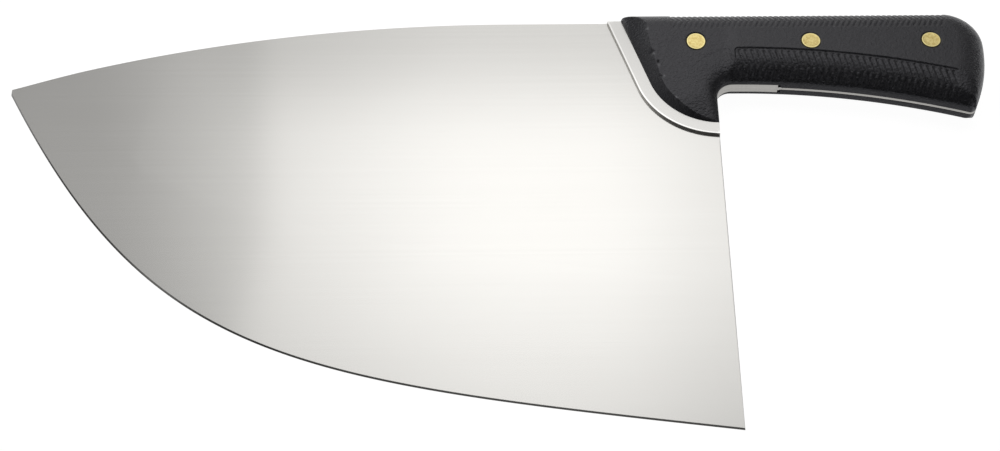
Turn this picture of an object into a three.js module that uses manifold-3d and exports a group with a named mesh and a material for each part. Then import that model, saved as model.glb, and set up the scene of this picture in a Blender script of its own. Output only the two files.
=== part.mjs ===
// A fishmonger's knife: a broad full-tang blade, a bolster plate on each face and a riveted two-half grip.
// Millimetres. The knife lies on its right side: X runs from tip to butt, Y from cutting edge to spine and
// Z out of the left face. Everything is laid out from the heel corner, where the cutting edge ends, on the
// plate's middle plane, and the finished knife is then centred over the bottom of its bounding box.

import * as THREE from "three";
import { mergeVertices } from "three/addons/utils/BufferGeometryUtils.js";
import Module from "manifold-3d";

const wasm = await Module();
wasm.setup();

// Blade outline
const BLADE_LENGTH = 300; // heel to tip
const BLADE_HEIGHT = 200; // heel corner to spine
const PLATE_THICK = 1.8; // blade and tang are one plate
const TIP_DROP = 33.9; // spine down to the tip
const TIP_BLUNT = 2.9; // upright cut that blunts the tip
const SPINE_STRAIGHT = 88; // straight spine ahead of the heel
const SPINE_TIP_ANGLE = 19.2; // fall of the spine at the tip, degrees
const SPINE_TIP_PULL = 71; // length of the spine curve's handle at the tip
const SPINE_STRAIGHT_PULL = 73; // and at the straight spine
const EDGE_TIP_ANGLE = 62; // fall of the cutting edge at the tip, degrees
const EDGE_TIP_PULL = 150; // length of the edge curve's handle at the tip
const EDGE_HEEL_ANGLE = 7.5; // fall of the cutting edge at the heel, degrees
const EDGE_HEEL_PULL = 180; // and the handle's length there

// Blade section
const BEVEL_WIDTH = 0.8; // honed bevel
const BEVEL_THICK = 0.5; // plate left behind the bevel
const EDGE_THICK = 0.1; // land at the very edge
const GRIND_AT_HEEL = 70; // the flat grind starts this high on the heel's back edge
const GRIND_TIP_ANGLE = 35; // fall of the grind line at the tip, degrees
const GRIND_PULL = 140; // length of the grind line's handles

// Bolster plates
const BOLSTER_THICK = 1.5; // each plate
const BOLSTER_AT_SPINE = 45; // front edge ahead of the heel, measured on the spine
const BOLSTER_LEAN = 18; // lean of the front edge, degrees
const BOLSTER_BEND = 36; // radius that turns the front edge towards the heel's back edge
const BOLSTER_DROP = 61; // spine down to its lower end
const BOLSTER_BAND = 5.6; // width that shows in front of the scale
const BOLSTER_TAIL = 26.4; // how far the plate runs back behind the heel, under the scale
const BOLSTER_TAIL_GAP = 1.2; // open notch between the plate's tail and the scale's rib

// Grip outline, shared by the tang and the scales
const GRIP_REACH = 116; // butt behind the heel
const GRIP_HEIGHT = 35.35; // top to underside at the front of the grip
const GRIP_THICK = 22; // over both scales
const FINGER_FILLET = 7; // radius between the heel's back edge and the underside
const UNDERSIDE_STRAIGHT = 8; // straight underside, measured behind the heel
const UNDERSIDE_BEND = 345; // radius of the long curve that deepens the grip towards the butt
const BUTT_CORNER = 17; // radius of the upper corner
const BUTT_SWEEP = 75; // radius of the long rear curve
const BUTT_TOE = 2.5; // radius of the lower corner

// Scale surface
const FRONT_SETBACK = 6; // how far the sloped front face leans back over the scale's height
const CROWN_WIDTH = 10; // rounding along the top edge
const CROWN_LIP = 3.4; // upright lip under that rounding, from the middle plane
const BUTT_ROUND = 13; // width of the same rounding at the butt
const PANEL_WIDTH = 13.5; // gripping panel along the underside
const PANEL_STEP = 0.5; // how far the panel lies below the flat side
const PANEL_LIP = 4.6; // upright lip under the panel, from the middle plane
const HEEL_LIP = 2.8; // the same lip where the lobe thins out along the heel's back edge
const PANEL_ROLL = 2.3; // power of the curve that rolls the panel down to the underside
const LOBE_TILT = 7; // tilt of the side over the front lobe, degrees
const LOBE_HINGE = 8; // the tilt starts this far below the top edge
const LOBE_END = 7; // and ends this far behind the heel
const HEEL_TILT = 14.7; // steeper tilt in the lobe's lower corner, degrees
const HEEL_HINGE = 40; // it starts this far below the top edge, measured on the heel's back edge
const HEEL_HINGE_FALL = 24.2; // and lower towards the front, degrees

// Rivets
const RIVET_DROP = 18.3; // rivet line below the top edge
const FRONT_RIVET = 8; // ahead of the heel
const FRONT_RIVET_RISE = 0.9; // above the line of the other two
const MIDDLE_RIVET = 49; // behind the front rivet
const REAR_RIVET = 23.6; // ahead of the butt
const HEAD_DIAMETER = 8;
const HEAD_THICK = 2;
const SOCKET_DIAMETER = 5;
const SOCKET_FLOOR = 1; // metal left between the socket's bore and its head
const PIN_DIAMETER = 3;
const FIT_GAP = 0.15; // radial clearance of rivets in their holes
const END_GAP = 0.3; // clearance at the ends of pins and sockets

// Sampling of round stretches
const ROUND_STEPS = 24; // steps around a rivet
const EDGE_STEPS = 44;
const SPINE_STEPS = 18;
const BEND_STEPS = 8;
const PROFILE_STEPS = 7;
const CUT_MARGIN = 3; // cutting shapes reach this far past what they cut
const WELD = 1e-4; // points closer than this are one point

const HALF_PLATE = PLATE_THICK / 2;
const HALF_GRIP = GRIP_THICK / 2;
const BOLSTER_FACE = HALF_PLATE + BOLSTER_THICK;
const BOLSTER_LOW = BLADE_HEIGHT - BOLSTER_DROP;
const UNDERSIDE = BLADE_HEIGHT - GRIP_HEIGHT;
const RIVET_HEIGHT = BLADE_HEIGHT - RIVET_DROP;
const FRONT_RIVET_HEIGHT = RIVET_HEIGHT + FRONT_RIVET_RISE;

const radians = THREE.MathUtils.degToRad;
const at = (x, y) => new THREE.Vector2(x, y);
const polar = (centre, radius, angle) =>
  at(centre.x + radius * Math.cos(angle), centre.y + radius * Math.sin(angle));

// Points of a circular arc from one angle to another, ends included.
function arc(centre, radius, from, to, steps) {
  const points = [];
  for (let i = 0; i <= steps; i++) {
    points.push(polar(centre, radius, from + ((to - from) * i) / steps));
  }
  return points;
}

// A cubic curve between two points, with a handle at each end given by angle and length.
function handled(start, startAngle, startPull, end, endAngle, endPull) {
  const leave = polar(start, startPull, startAngle);
  const arrive = polar(end, endPull, endAngle);
  return new THREE.CubicBezierCurve(start, leave, arrive, end);
}

// The meeting point, on the right, of two circles.
function rightMeeting(centreA, radiusA, centreB, radiusB) {
  const between = centreB.clone().sub(centreA);
  const apart = between.length();
  const along = (apart * apart + radiusA * radiusA - radiusB * radiusB) / (2 * apart);
  const off = Math.sqrt(radiusA * radiusA - along * along);
  const unit = between.divideScalar(apart);
  const foot = centreA.clone().addScaledVector(unit, along);
  return foot.add(at(unit.y * off, -unit.x * off));
}

// A closed mesh through sections of equal length, with a lid on the first and on the last.
// A section has a flat outline, anticlockwise as seen from the next section, and a rule that places it.
function loft(sections) {
  const count = sections[0].outline.length;
  const lastStart = (sections.length - 1) * count;
  const positions = [];
  const index = [];
  for (const section of sections) {
    for (const point of section.outline) {
      positions.push(...section.place(point));
    }
  }
  for (let start = 0; start < lastStart; start += count) {
    for (let i = 0; i < count; i++) {
      const here = start + i;
      const next = start + ((i + 1) % count);
      index.push(here, next, next + count, here, next + count, here + count);
    }
  }
  for (const [a, b, c] of THREE.ShapeUtils.triangulateShape(sections[0].outline, [])) {
    index.push(a, c, b);
  }
  for (const [a, b, c] of THREE.ShapeUtils.triangulateShape(sections.at(-1).outline, [])) {
    index.push(lastStart + a, lastStart + b, lastStart + c);
  }
  const geometry = new THREE.BufferGeometry();
  geometry.setAttribute("position", new THREE.Float32BufferAttribute(positions, 3));
  geometry.setIndex(index);
  return geometry;
}

const level = (outline, height) => ({ outline, place: (p) => [p.x, p.y, height] });

// Sections that stand across a path on the grip's outline, their first axis pointing into the grip.
function across(path, profileAt) {
  return path.map((foot, i) => {
    const before = path[Math.max(i - 1, 0)];
    const after = path[Math.min(i + 1, path.length - 1)];
    const travel = after.clone().sub(before).normalize();
    return {
      outline: profileAt(i),
      place: (p) => [foot.x - travel.y * p.x, foot.y + travel.x * p.x, p.y],
    };
  });
}

// A closed mesh as a body that can be joined and cut, and back again.
function solid(geometry) {
  const bare = geometry.clone();
  bare.deleteAttribute("normal");
  bare.deleteAttribute("uv");
  const merged = mergeVertices(bare, WELD);
  const corners = [];
  for (let i = 0; i < merged.index.count; i += 3) {
    const [a, b, c] = merged.index.array.slice(i, i + 3);
    if (a !== b && b !== c && c !== a) {
      corners.push(a, b, c);
    }
  }
  const mesh = new wasm.Mesh({
    numProp: 3,
    vertProperties: merged.attributes.position.array,
    triVerts: new Uint32Array(corners),
  });
  return new wasm.Manifold(mesh);
}

function geometryOf(body) {
  const mesh = body.getMesh();
  const geometry = new THREE.BufferGeometry();
  geometry.setAttribute("position", new THREE.BufferAttribute(mesh.vertProperties, 3));
  geometry.setIndex(new THREE.BufferAttribute(mesh.triVerts, 1));
  geometry.computeVertexNormals();
  return geometry;
}

// The same piece for the knife's other face.
function mirrored(geometry) {
  const copy = geometry.clone().scale(1, 1, -1);
  const order = copy.index.array;
  for (let i = 0; i < order.length; i += 3) {
    [order[i + 1], order[i + 2]] = [order[i + 2], order[i + 1]];
  }
  copy.computeVertexNormals();
  return copy;
}

function cylinder(place, radius, low, high) {
  const geometry = new THREE.CylinderGeometry(radius, radius, high - low, ROUND_STEPS);
  geometry.rotateX(Math.PI / 2);
  geometry.translate(place.x, place.y, (low + high) / 2);
  return solid(geometry);
}

function box(low, high) {
  const size = high.clone().sub(low);
  const geometry = new THREE.BoxGeometry(size.x, size.y, size.z);
  const centre = low.clone().add(high).multiplyScalar(0.5);
  return solid(geometry.translate(centre.x, centre.y, centre.z));
}

// A body of revolution on an upright axis, from a profile of radius and height that starts and ends on it.
function turned(place, profile) {
  const geometry = new THREE.LatheGeometry(profile.map(([r, z]) => at(r, z)), ROUND_STEPS);
  geometry.rotateX(Math.PI / 2);
  geometry.translate(place.x, place.y, 0);
  return solid(geometry);
}

// The grip's outline, anticlockwise, in the stretches that its pieces share.
const filletCentre = at(FINGER_FILLET, UNDERSIDE - FINGER_FILLET);
const undersideCentre = at(UNDERSIDE_STRAIGHT, UNDERSIDE - UNDERSIDE_BEND);
const cornerCentre = at(GRIP_REACH - BUTT_CORNER, BLADE_HEIGHT - BUTT_CORNER);
const sweepCentre = at(GRIP_REACH - BUTT_SWEEP, BLADE_HEIGHT - BUTT_CORNER);
const toeCentre = rightMeeting(
  undersideCentre,
  UNDERSIDE_BEND + BUTT_TOE,
  sweepCentre,
  BUTT_SWEEP - BUTT_TOE,
);
const undersideEnd = toeCentre.clone().sub(undersideCentre).angle();
const sweepStart = toeCentre.clone().sub(sweepCentre).angle() - 2 * Math.PI;

const fillet = arc(filletCentre, FINGER_FILLET, Math.PI, Math.PI / 2, BEND_STEPS);
const underside = arc(undersideCentre, UNDERSIDE_BEND, Math.PI / 2, undersideEnd, BEND_STEPS);
const toe = arc(toeCentre, BUTT_TOE, undersideEnd - Math.PI, sweepStart, BEND_STEPS / 2);
const sweep = arc(sweepCentre, BUTT_SWEEP, sweepStart, 0, BEND_STEPS);
const corner = arc(cornerCentre, BUTT_CORNER, 0, Math.PI / 2, BEND_STEPS);
const gripOutline = [
  ...fillet,
  ...underside,
  ...toe.slice(1, -1),
  ...sweep,
  ...corner.slice(1),
];

const lobeTop = BLADE_HEIGHT - LOBE_HINGE;
const lobeFall = (height) => Math.max(lobeTop - height, 0) * Math.tan(radians(LOBE_TILT));
const rivets = [
  {
    name: "front",
    place: at(-FRONT_RIVET, FRONT_RIVET_HEIGHT),
    face: HALF_GRIP - lobeFall(FRONT_RIVET_HEIGHT),
  },
  { name: "middle", place: at(MIDDLE_RIVET - FRONT_RIVET, RIVET_HEIGHT), face: HALF_GRIP },
  { name: "rear", place: at(GRIP_REACH - REAR_RIVET, RIVET_HEIGHT), face: HALF_GRIP },
];

// The bolster's front edge moved back by a distance, from the spine down to the heel's back edge.
function bolsterLine(inset) {
  const lean = radians(BOLSTER_LEAN);
  const centreHeight = BOLSTER_LOW + BOLSTER_BEND;
  const bendStart = centreHeight - BOLSTER_BEND * Math.sin(lean);
  const bendStartX = (BLADE_HEIGHT - bendStart) * Math.tan(lean) - BOLSTER_AT_SPINE;
  const centre = at(bendStartX + BOLSTER_BEND * Math.cos(lean), centreHeight);
  const radius = BOLSTER_BEND - inset;
  const heelAngle = 2 * Math.PI - Math.acos(-centre.x / radius);
  const top = at(inset / Math.cos(lean) - BOLSTER_AT_SPINE, BLADE_HEIGHT);
  return [top, ...arc(centre, radius, Math.PI + lean, heelAngle, BEND_STEPS)];
}

// The outline that bolster plate and scale share, closed along the bolster's front edge.
const gripBehind = (inset) => [...gripOutline, ...bolsterLine(inset)];

// Holes for the rivets' sockets through a plate.
function drilled(plate) {
  const radius = SOCKET_DIAMETER / 2 + FIT_GAP;
  const reach = BOLSTER_FACE + CUT_MARGIN;
  return rivets.reduce((left, { place }) => left.subtract(cylinder(place, radius, -reach, reach)), plate);
}

// Blade and tang: one plate, ground flat from the grind line to a honed bevel on both faces.
function bladeAndTang() {
  const tipHeight = BLADE_HEIGHT - TIP_DROP;
  const heelAngle = Math.PI - radians(EDGE_HEEL_ANGLE);
  const tipTop = at(-BLADE_LENGTH, tipHeight);
  const tipLow = at(-BLADE_LENGTH, tipHeight - TIP_BLUNT);
  const grindTip = at(-BLADE_LENGTH, tipHeight - TIP_BLUNT / 2);
  const spineEnd = at(-SPINE_STRAIGHT, BLADE_HEIGHT);
  const spineAngle = radians(SPINE_TIP_ANGLE);
  const edgeAngle = -radians(EDGE_TIP_ANGLE);
  const grindAngle = -radians(GRIND_TIP_ANGLE);
  const spine = handled(spineEnd, Math.PI, SPINE_STRAIGHT_PULL, tipTop, spineAngle, SPINE_TIP_PULL);
  const edge = handled(tipLow, edgeAngle, EDGE_TIP_PULL, at(0, 0), heelAngle, EDGE_HEEL_PULL);
  const grind = handled(grindTip, grindAngle, GRIND_PULL, at(0, GRIND_AT_HEEL), heelAngle, GRIND_PULL);

  const edgePoints = edge.getPoints(EDGE_STEPS);
  const bevelPoints = edgePoints.map((point, i) => {
    const travel = edge.getTangent(i / EDGE_STEPS);
    return at(Math.min(point.x - travel.y * BEVEL_WIDTH, 0), point.y + travel.x * BEVEL_WIDTH);
  });
  const rest = [...gripOutline, ...spine.getPoints(SPINE_STEPS)];
  const flats = [...grind.getPoints(EDGE_STEPS), ...rest];
  const bevel = [...bevelPoints, ...rest];
  const rim = [...edgePoints, ...rest];
  const plate = loft([
    level(flats, -HALF_PLATE),
    level(bevel, -BEVEL_THICK / 2),
    level(rim, -EDGE_THICK / 2),
    level(rim, EDGE_THICK / 2),
    level(bevel, BEVEL_THICK / 2),
    level(flats, HALF_PLATE),
  ]);
  return geometryOf(drilled(solid(plate)));
}

// Bolster plate on the left face: its band shows, its tail lies under the scale.
function bolsterPlate() {
  const outline = gripBehind(0);
  const whole = solid(loft([level(outline, HALF_PLATE), level(outline, BOLSTER_FACE)]));
  const behindTail = box(
    new THREE.Vector3(BOLSTER_TAIL, 0, 0),
    new THREE.Vector3(GRIP_REACH + CUT_MARGIN, BLADE_HEIGHT + CUT_MARGIN, HALF_GRIP),
  );
  return geometryOf(drilled(whole.subtract(behindTail)));
}

const cutTop = HALF_GRIP + CUT_MARGIN;

// What is removed above a profile of depth into the grip and height, for use across a path.
function above(profile) {
  const [, startHeight] = profile[0];
  const [endDepth] = profile.at(-1);
  const corners = [[-CUT_MARGIN, startHeight], ...profile, [endDepth, cutTop], [-CUT_MARGIN, cutTop]];
  return corners.map(([depth, height]) => at(depth, height));
}

// The gripping panel, rolled down along the heel's back edge, round the finger fillet and on to the butt.
function panelCut() {
  const past = Math.acos((GRIP_REACH + CUT_MARGIN - undersideCentre.x) / UNDERSIDE_BEND);
  const path = [
    at(0, BOLSTER_LOW),
    ...fillet,
    ...arc(undersideCentre, UNDERSIDE_BEND, Math.PI / 2, past, BEND_STEPS),
  ];
  const profileAt = (i) => {
    const round = THREE.MathUtils.clamp((i - 1) / BEND_STEPS, 0, 1);
    const lip = THREE.MathUtils.lerp(HEEL_LIP, PANEL_LIP, round);
    const rise = HALF_GRIP - PANEL_STEP - lip;
    const profile = [];
    for (let k = 0; k <= PROFILE_STEPS; k++) {
      const share = (k / PROFILE_STEPS) ** 2;
      profile.push([PANEL_WIDTH * share, lip + rise * (1 - (1 - share) ** PANEL_ROLL)]);
    }
    return above(profile);
  };
  return solid(loft(across(path, profileAt)));
}

// The rounding along butt and top edge, wider at the butt.
function crownCut() {
  const past = sweepStart - (BUTT_TOE + CUT_MARGIN) / BUTT_SWEEP;
  const rear = arc(sweepCentre, BUTT_SWEEP, past, 0, BEND_STEPS);
  const path = [...rear, ...corner.slice(1), at(-BOLSTER_AT_SPINE, BLADE_HEIGHT)];
  const profileAt = (i) => {
    const turn = THREE.MathUtils.clamp((i - BEND_STEPS) / BEND_STEPS, 0, 1);
    const width = THREE.MathUtils.lerp(BUTT_ROUND, CROWN_WIDTH, turn);
    const profile = [];
    for (let k = 0; k <= PROFILE_STEPS; k++) {
      const angle = ((Math.PI / 2) * k) / PROFILE_STEPS;
      profile.push([width * (1 - Math.cos(angle)), CROWN_LIP + (HALF_GRIP - CROWN_LIP) * Math.sin(angle)]);
    }
    return above(profile);
  };
  return solid(loft(across(path, profileAt)));
}

// The tilted side over the front lobe.
function lobeCut() {
  const low = BOLSTER_LOW - CUT_MARGIN;
  const outline = [
    at(lobeTop, HALF_GRIP),
    at(lobeTop, cutTop),
    at(low, cutTop),
    at(low, HALF_GRIP - lobeFall(low)),
  ];
  const upright = (x) => ({ outline, place: (p) => [x, p.x, p.y] });
  return solid(loft([upright(-BOLSTER_AT_SPINE), upright(LOBE_END)]));
}

// The steeper tilt that thins the lobe's lower corner out on to the bolster plate.
function heelCut() {
  const low = BOLSTER_LOW - CUT_MARGIN;
  const fall = Math.tan(radians(HEEL_HINGE_FALL));
  const steeper = Math.tan(radians(HEEL_TILT)) - Math.tan(radians(LOBE_TILT));
  const upright = (x) => {
    const hinge = BLADE_HEIGHT - HEEL_HINGE + x * fall;
    const outline = [
      at(hinge, HALF_GRIP - lobeFall(hinge)),
      at(hinge, cutTop),
      at(low, cutTop),
      at(low, HALF_GRIP - lobeFall(low) - (hinge - low) * steeper),
    ];
    return { outline, place: (p) => [x, p.x, p.y] };
  };
  return solid(loft([upright((HEEL_HINGE - BOLSTER_DROP) / fall), upright(LOBE_END)]));
}

// Left scale: a sloped front face, a pocket over the bolster's tail, the shaped side and the rivets' seats.
function gripScale() {
  const foot = gripBehind(BOLSTER_BAND);
  const crest = gripBehind(BOLSTER_BAND + FRONT_SETBACK);
  const block = solid(loft([level(foot, HALF_PLATE), level(foot, BOLSTER_FACE), level(crest, HALF_GRIP)]));
  const pocket = box(
    new THREE.Vector3(-BOLSTER_AT_SPINE, 0, 0),
    new THREE.Vector3(BOLSTER_TAIL + BOLSTER_TAIL_GAP, BLADE_HEIGHT + CUT_MARGIN, BOLSTER_FACE),
  );
  const cuts = [pocket, panelCut(), crownCut(), lobeCut(), heelCut()];
  const shaped = cuts.reduce((left, cut) => left.subtract(cut), block);
  const seated = rivets.reduce((left, { place, face }) => {
    const hole = cylinder(place, SOCKET_DIAMETER / 2 + FIT_GAP, 0, cutTop);
    const seat = cylinder(place, HEAD_DIAMETER / 2 + FIT_GAP, face - HEAD_THICK, cutTop);
    return left.subtract(hole).subtract(seat);
  }, shaped);
  return geometryOf(seated);
}

// Headed pin, its head ground flush with the left scale.
function rivetPin({ place, face }) {
  const seat = face - HEAD_THICK;
  const foot = END_GAP - (seat - SOCKET_FLOOR);
  const pin = turned(place, [
    [0, foot],
    [PIN_DIAMETER / 2, foot],
    [PIN_DIAMETER / 2, seat],
    [HEAD_DIAMETER / 2, seat],
    [HEAD_DIAMETER / 2, HALF_GRIP],
    [0, HALF_GRIP],
  ]);
  return geometryOf(pin.subtract(lobeCut()));
}

// Headed socket that takes the pin, drawn with its head up; on the knife its head is in the right scale.
function rivetSocket({ place, face }) {
  const seat = face - HEAD_THICK;
  const bore = PIN_DIAMETER / 2 + FIT_GAP;
  const socket = turned(place, [
    [0, seat - SOCKET_FLOOR],
    [bore, seat - SOCKET_FLOOR],
    [bore, END_GAP - seat],
    [SOCKET_DIAMETER / 2, END_GAP - seat],
    [SOCKET_DIAMETER / 2, seat],
    [HEAD_DIAMETER / 2, seat],
    [HEAD_DIAMETER / 2, HALF_GRIP],
    [0, HALF_GRIP],
  ]);
  return geometryOf(socket.subtract(lobeCut()));
}

const satinSteel = { color: 0xc9cacb, roughness: 0.32, metalness: 1 };
const brightSteel = { color: 0xd6d7d8, roughness: 0.22, metalness: 1 };
const blackPlastic = { color: 0x1c1c1e, roughness: 0.5, metalness: 0 };
const brass = { color: 0xd9c67f, roughness: 0.28, metalness: 1 };

const knife = new THREE.Group();
const laidOut = new THREE.Group();
laidOut.position.set((BLADE_LENGTH - GRIP_REACH) / 2, -BLADE_HEIGHT / 2, HALF_GRIP);
knife.add(laidOut);

function piece(name, geometry, finish) {
  const mesh = new THREE.Mesh(geometry, new THREE.MeshStandardMaterial(finish));
  mesh.name = name;
  laidOut.add(mesh);
}

const bolster = bolsterPlate();
const scale = gripScale();
piece("blade", bladeAndTang(), satinSteel);
piece("bolster_left", bolster, brightSteel);
piece("bolster_right", mirrored(bolster), brightSteel);
piece("scale_left", scale, blackPlastic);
piece("scale_right", mirrored(scale), blackPlastic);
for (const rivet of rivets) {
  piece(`rivet_${rivet.name}_pin`, rivetPin(rivet), brass);
  piece(`rivet_${rivet.name}_socket`, mirrored(rivetSocket(rivet)), brass);
}

export default knife;
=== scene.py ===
# A fishmonger's knife, lying on its right side: tip towards -X, spine towards +Y, left face up.
# Lengths are in millimetres from the heel corner, on the plate's middle plane, until a mesh is made.

import math

import bmesh
import bpy
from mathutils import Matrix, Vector
from mathutils.geometry import delaunay_2d_cdt, interpolate_bezier


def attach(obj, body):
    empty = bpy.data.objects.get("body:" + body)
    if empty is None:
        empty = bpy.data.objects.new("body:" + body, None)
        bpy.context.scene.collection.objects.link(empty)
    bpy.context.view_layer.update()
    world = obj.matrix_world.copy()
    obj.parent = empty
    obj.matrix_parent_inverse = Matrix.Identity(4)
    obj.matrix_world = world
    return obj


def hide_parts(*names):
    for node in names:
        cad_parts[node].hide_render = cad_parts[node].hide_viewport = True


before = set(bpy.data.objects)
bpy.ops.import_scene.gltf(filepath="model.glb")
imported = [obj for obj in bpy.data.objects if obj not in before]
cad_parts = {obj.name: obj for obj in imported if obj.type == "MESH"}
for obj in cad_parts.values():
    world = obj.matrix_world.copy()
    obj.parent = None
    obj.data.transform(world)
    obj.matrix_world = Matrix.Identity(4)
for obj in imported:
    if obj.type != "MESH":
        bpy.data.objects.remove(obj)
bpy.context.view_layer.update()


# Blade and tang. One plate of stainless steel is both: cut to outline, ground thin from the middle of the
# blade down to a honed edge, drilled for three rivets and brushed along its length. The tang's edge is left
# bare all round the grip.

MM = 0.001  # in the frame's metres
HEEL_CORNER = Vector((92.0, -100.0, 11.0))  # where the cutting edge ends, in the frame
BLADE_LENGTH = 300.0
BLADE_HEIGHT = 200.0
HALF_PLATE = 0.9
TIP_TOP = Vector((-BLADE_LENGTH, 166.1))
TIP_LOW = Vector((-BLADE_LENGTH, 163.2))
SPINE_BEND_START = Vector((-88.0, BLADE_HEIGHT))
GRIND_TIP = Vector((-BLADE_LENGTH, 164.65))
GRIND_HEEL = Vector((0.0, 70.0))  # the flat grind starts this high on the heel's back edge
BEVEL_WIDTH = 0.8
TIP_BEVEL = 0.7  # share of that width at the tip
BEVEL_HEIGHT = 0.25
TIP_TAPER = 0.022  # how fast the plate gains thickness behind the bevel at the tip
EDGE_HEIGHT = 0.05
SPINE_BREAK = 0.25  # rounding of the spine's corner
HEEL_BREAK = 0.55  # and of the heel's back edge
BREAK_FADE = 4.0  # both roundings die out over this length at the bolster
TIP_FADE = 6.0  # and the spine's over this length at the tip
BOLSTER_AT_SPINE = 45.0
BOLSTER_LOW = 139.0
GRIP_REACH = 116.0
UNDERSIDE = 164.65
FINGER_FILLET = 7.0
UNDERSIDE_STRAIGHT = 8.0
UNDERSIDE_BEND = 345.0
BUTT_CORNER = 17.0
BUTT_SWEEP = 75.0
BUTT_TOE = 2.5
RIVET_LINE = 181.7
RIVET_PLACES = [Vector((-8.0, RIVET_LINE + 0.9)), Vector((41.0, RIVET_LINE)), Vector((92.4, RIVET_LINE))]
RIVET_BORE = 2.65
POCKET_END = 27.6  # behind this the scales lie right on the tang
TANG_BREAK = 0.45  # and its edge is rounded over


def polar(centre, radius, degrees):
    angle = math.radians(degrees)
    return Vector((centre.x + radius * math.cos(angle), centre.y + radius * math.sin(angle)))


def arc(centre, radius, start, end, steps):
    return [polar(centre, radius, start + (end - start) * i / steps) for i in range(steps + 1)]


def handled(start, start_angle, start_pull, end, end_angle, end_pull, steps):
    """A cubic curve with a handle at each end, given by angle and length."""
    knots = [start, polar(start, start_pull, start_angle), polar(end, end_pull, end_angle), end]
    return [p.to_2d() for p in interpolate_bezier(*[k.to_3d() for k in knots], steps + 1)]


def straight(start, end, pitch):
    steps = max(round((end - start).length / pitch), 1)
    return [start.lerp(end, i / steps) for i in range(steps + 1)]


def bearing(point, centre):
    away = point - centre
    return math.degrees(math.atan2(away.y, away.x))


def inwards(path, i):
    """The direction square to an anticlockwise path at one of its points, into what it goes round."""
    travel = (path[min(i + 1, len(path) - 1)] - path[max(i - 1, 0)]).normalized()
    return Vector((-travel.y, travel.x))


def joined(*stretches):
    """One outline of stretches that meet end to end, each meeting point kept once."""
    outline = []
    for stretch in stretches:
        for point in stretch:
            if not outline or (point - outline[-1]).length > 1e-4:
                outline.append(point)
    if (outline[0] - outline[-1]).length < 1e-4:
        outline.pop()
    return outline


fillet_centre = Vector((FINGER_FILLET, UNDERSIDE - FINGER_FILLET))
fillet_foot = Vector((0.0, UNDERSIDE - FINGER_FILLET))
underside_centre = Vector((UNDERSIDE_STRAIGHT, UNDERSIDE - UNDERSIDE_BEND))
corner_centre = Vector((GRIP_REACH - BUTT_CORNER, BLADE_HEIGHT - BUTT_CORNER))
sweep_centre = Vector((GRIP_REACH - BUTT_SWEEP, BLADE_HEIGHT - BUTT_CORNER))
toe_reach = UNDERSIDE_BEND + BUTT_TOE
toe_sweep = BUTT_SWEEP - BUTT_TOE
centres_apart = sweep_centre - underside_centre
toe_along = (centres_apart.length_squared + toe_reach**2 - toe_sweep**2) / (2 * centres_apart.length)
toe_off = math.sqrt(toe_reach**2 - toe_along**2)
toe_axis = centres_apart.normalized()
toe_centre = underside_centre + toe_axis * toe_along + Vector((toe_axis.y, -toe_axis.x)) * toe_off
UNDERSIDE_END = bearing(toe_centre, underside_centre)
SWEEP_START = bearing(toe_centre, sweep_centre)


def underside_at(x, depth=0.0):
    """The point at a place along the underside, which starts straight, and a depth into the grip."""
    if x <= UNDERSIDE_STRAIGHT:
        return Vector((x, UNDERSIDE + depth))
    run = x - underside_centre.x
    return Vector((x, underside_centre.y + math.sqrt((UNDERSIDE_BEND + depth) ** 2 - run * run)))


def underside_path(end, pitch):
    """The finger fillet and the underside, from the heel's back edge to a bearing on the long curve."""
    steps = max(round(math.radians(90.0 - end) * UNDERSIDE_BEND / pitch), 1)
    return joined(
        arc(fillet_centre, FINGER_FILLET, 180.0, 90.0, max(round(11.0 / pitch), 12)),
        straight(Vector((FINGER_FILLET, UNDERSIDE)), Vector((UNDERSIDE_STRAIGHT, UNDERSIDE)), pitch),
        arc(underside_centre, UNDERSIDE_BEND, 90.0, end, steps),
    )


def butt_path(pitch):
    """The toe, the rear sweep and the upper corner, from the underside round to the top line."""
    sweep_steps = round(math.radians(-SWEEP_START) * BUTT_SWEEP / pitch)
    return joined(
        arc(toe_centre, BUTT_TOE, UNDERSIDE_END - 180.0, SWEEP_START, max(round(4.0 / pitch), 8)),
        arc(sweep_centre, BUTT_SWEEP, SWEEP_START, 0.0, sweep_steps),
        arc(corner_centre, BUTT_CORNER, 0.0, 90.0, max(round(27.0 / pitch), 16)),
    )


def circle(centre, radius, steps=48):
    return arc(centre, radius, 0.0, 360.0, steps)[:-1]


def raised(path, height):
    return [(*p, height) for p in path]


def share_between(value, low, high):
    """How far a value has gone from low to high, from 0 to 1."""
    return min(max((value - low) / (high - low), 0.0), 1.0)


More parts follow.
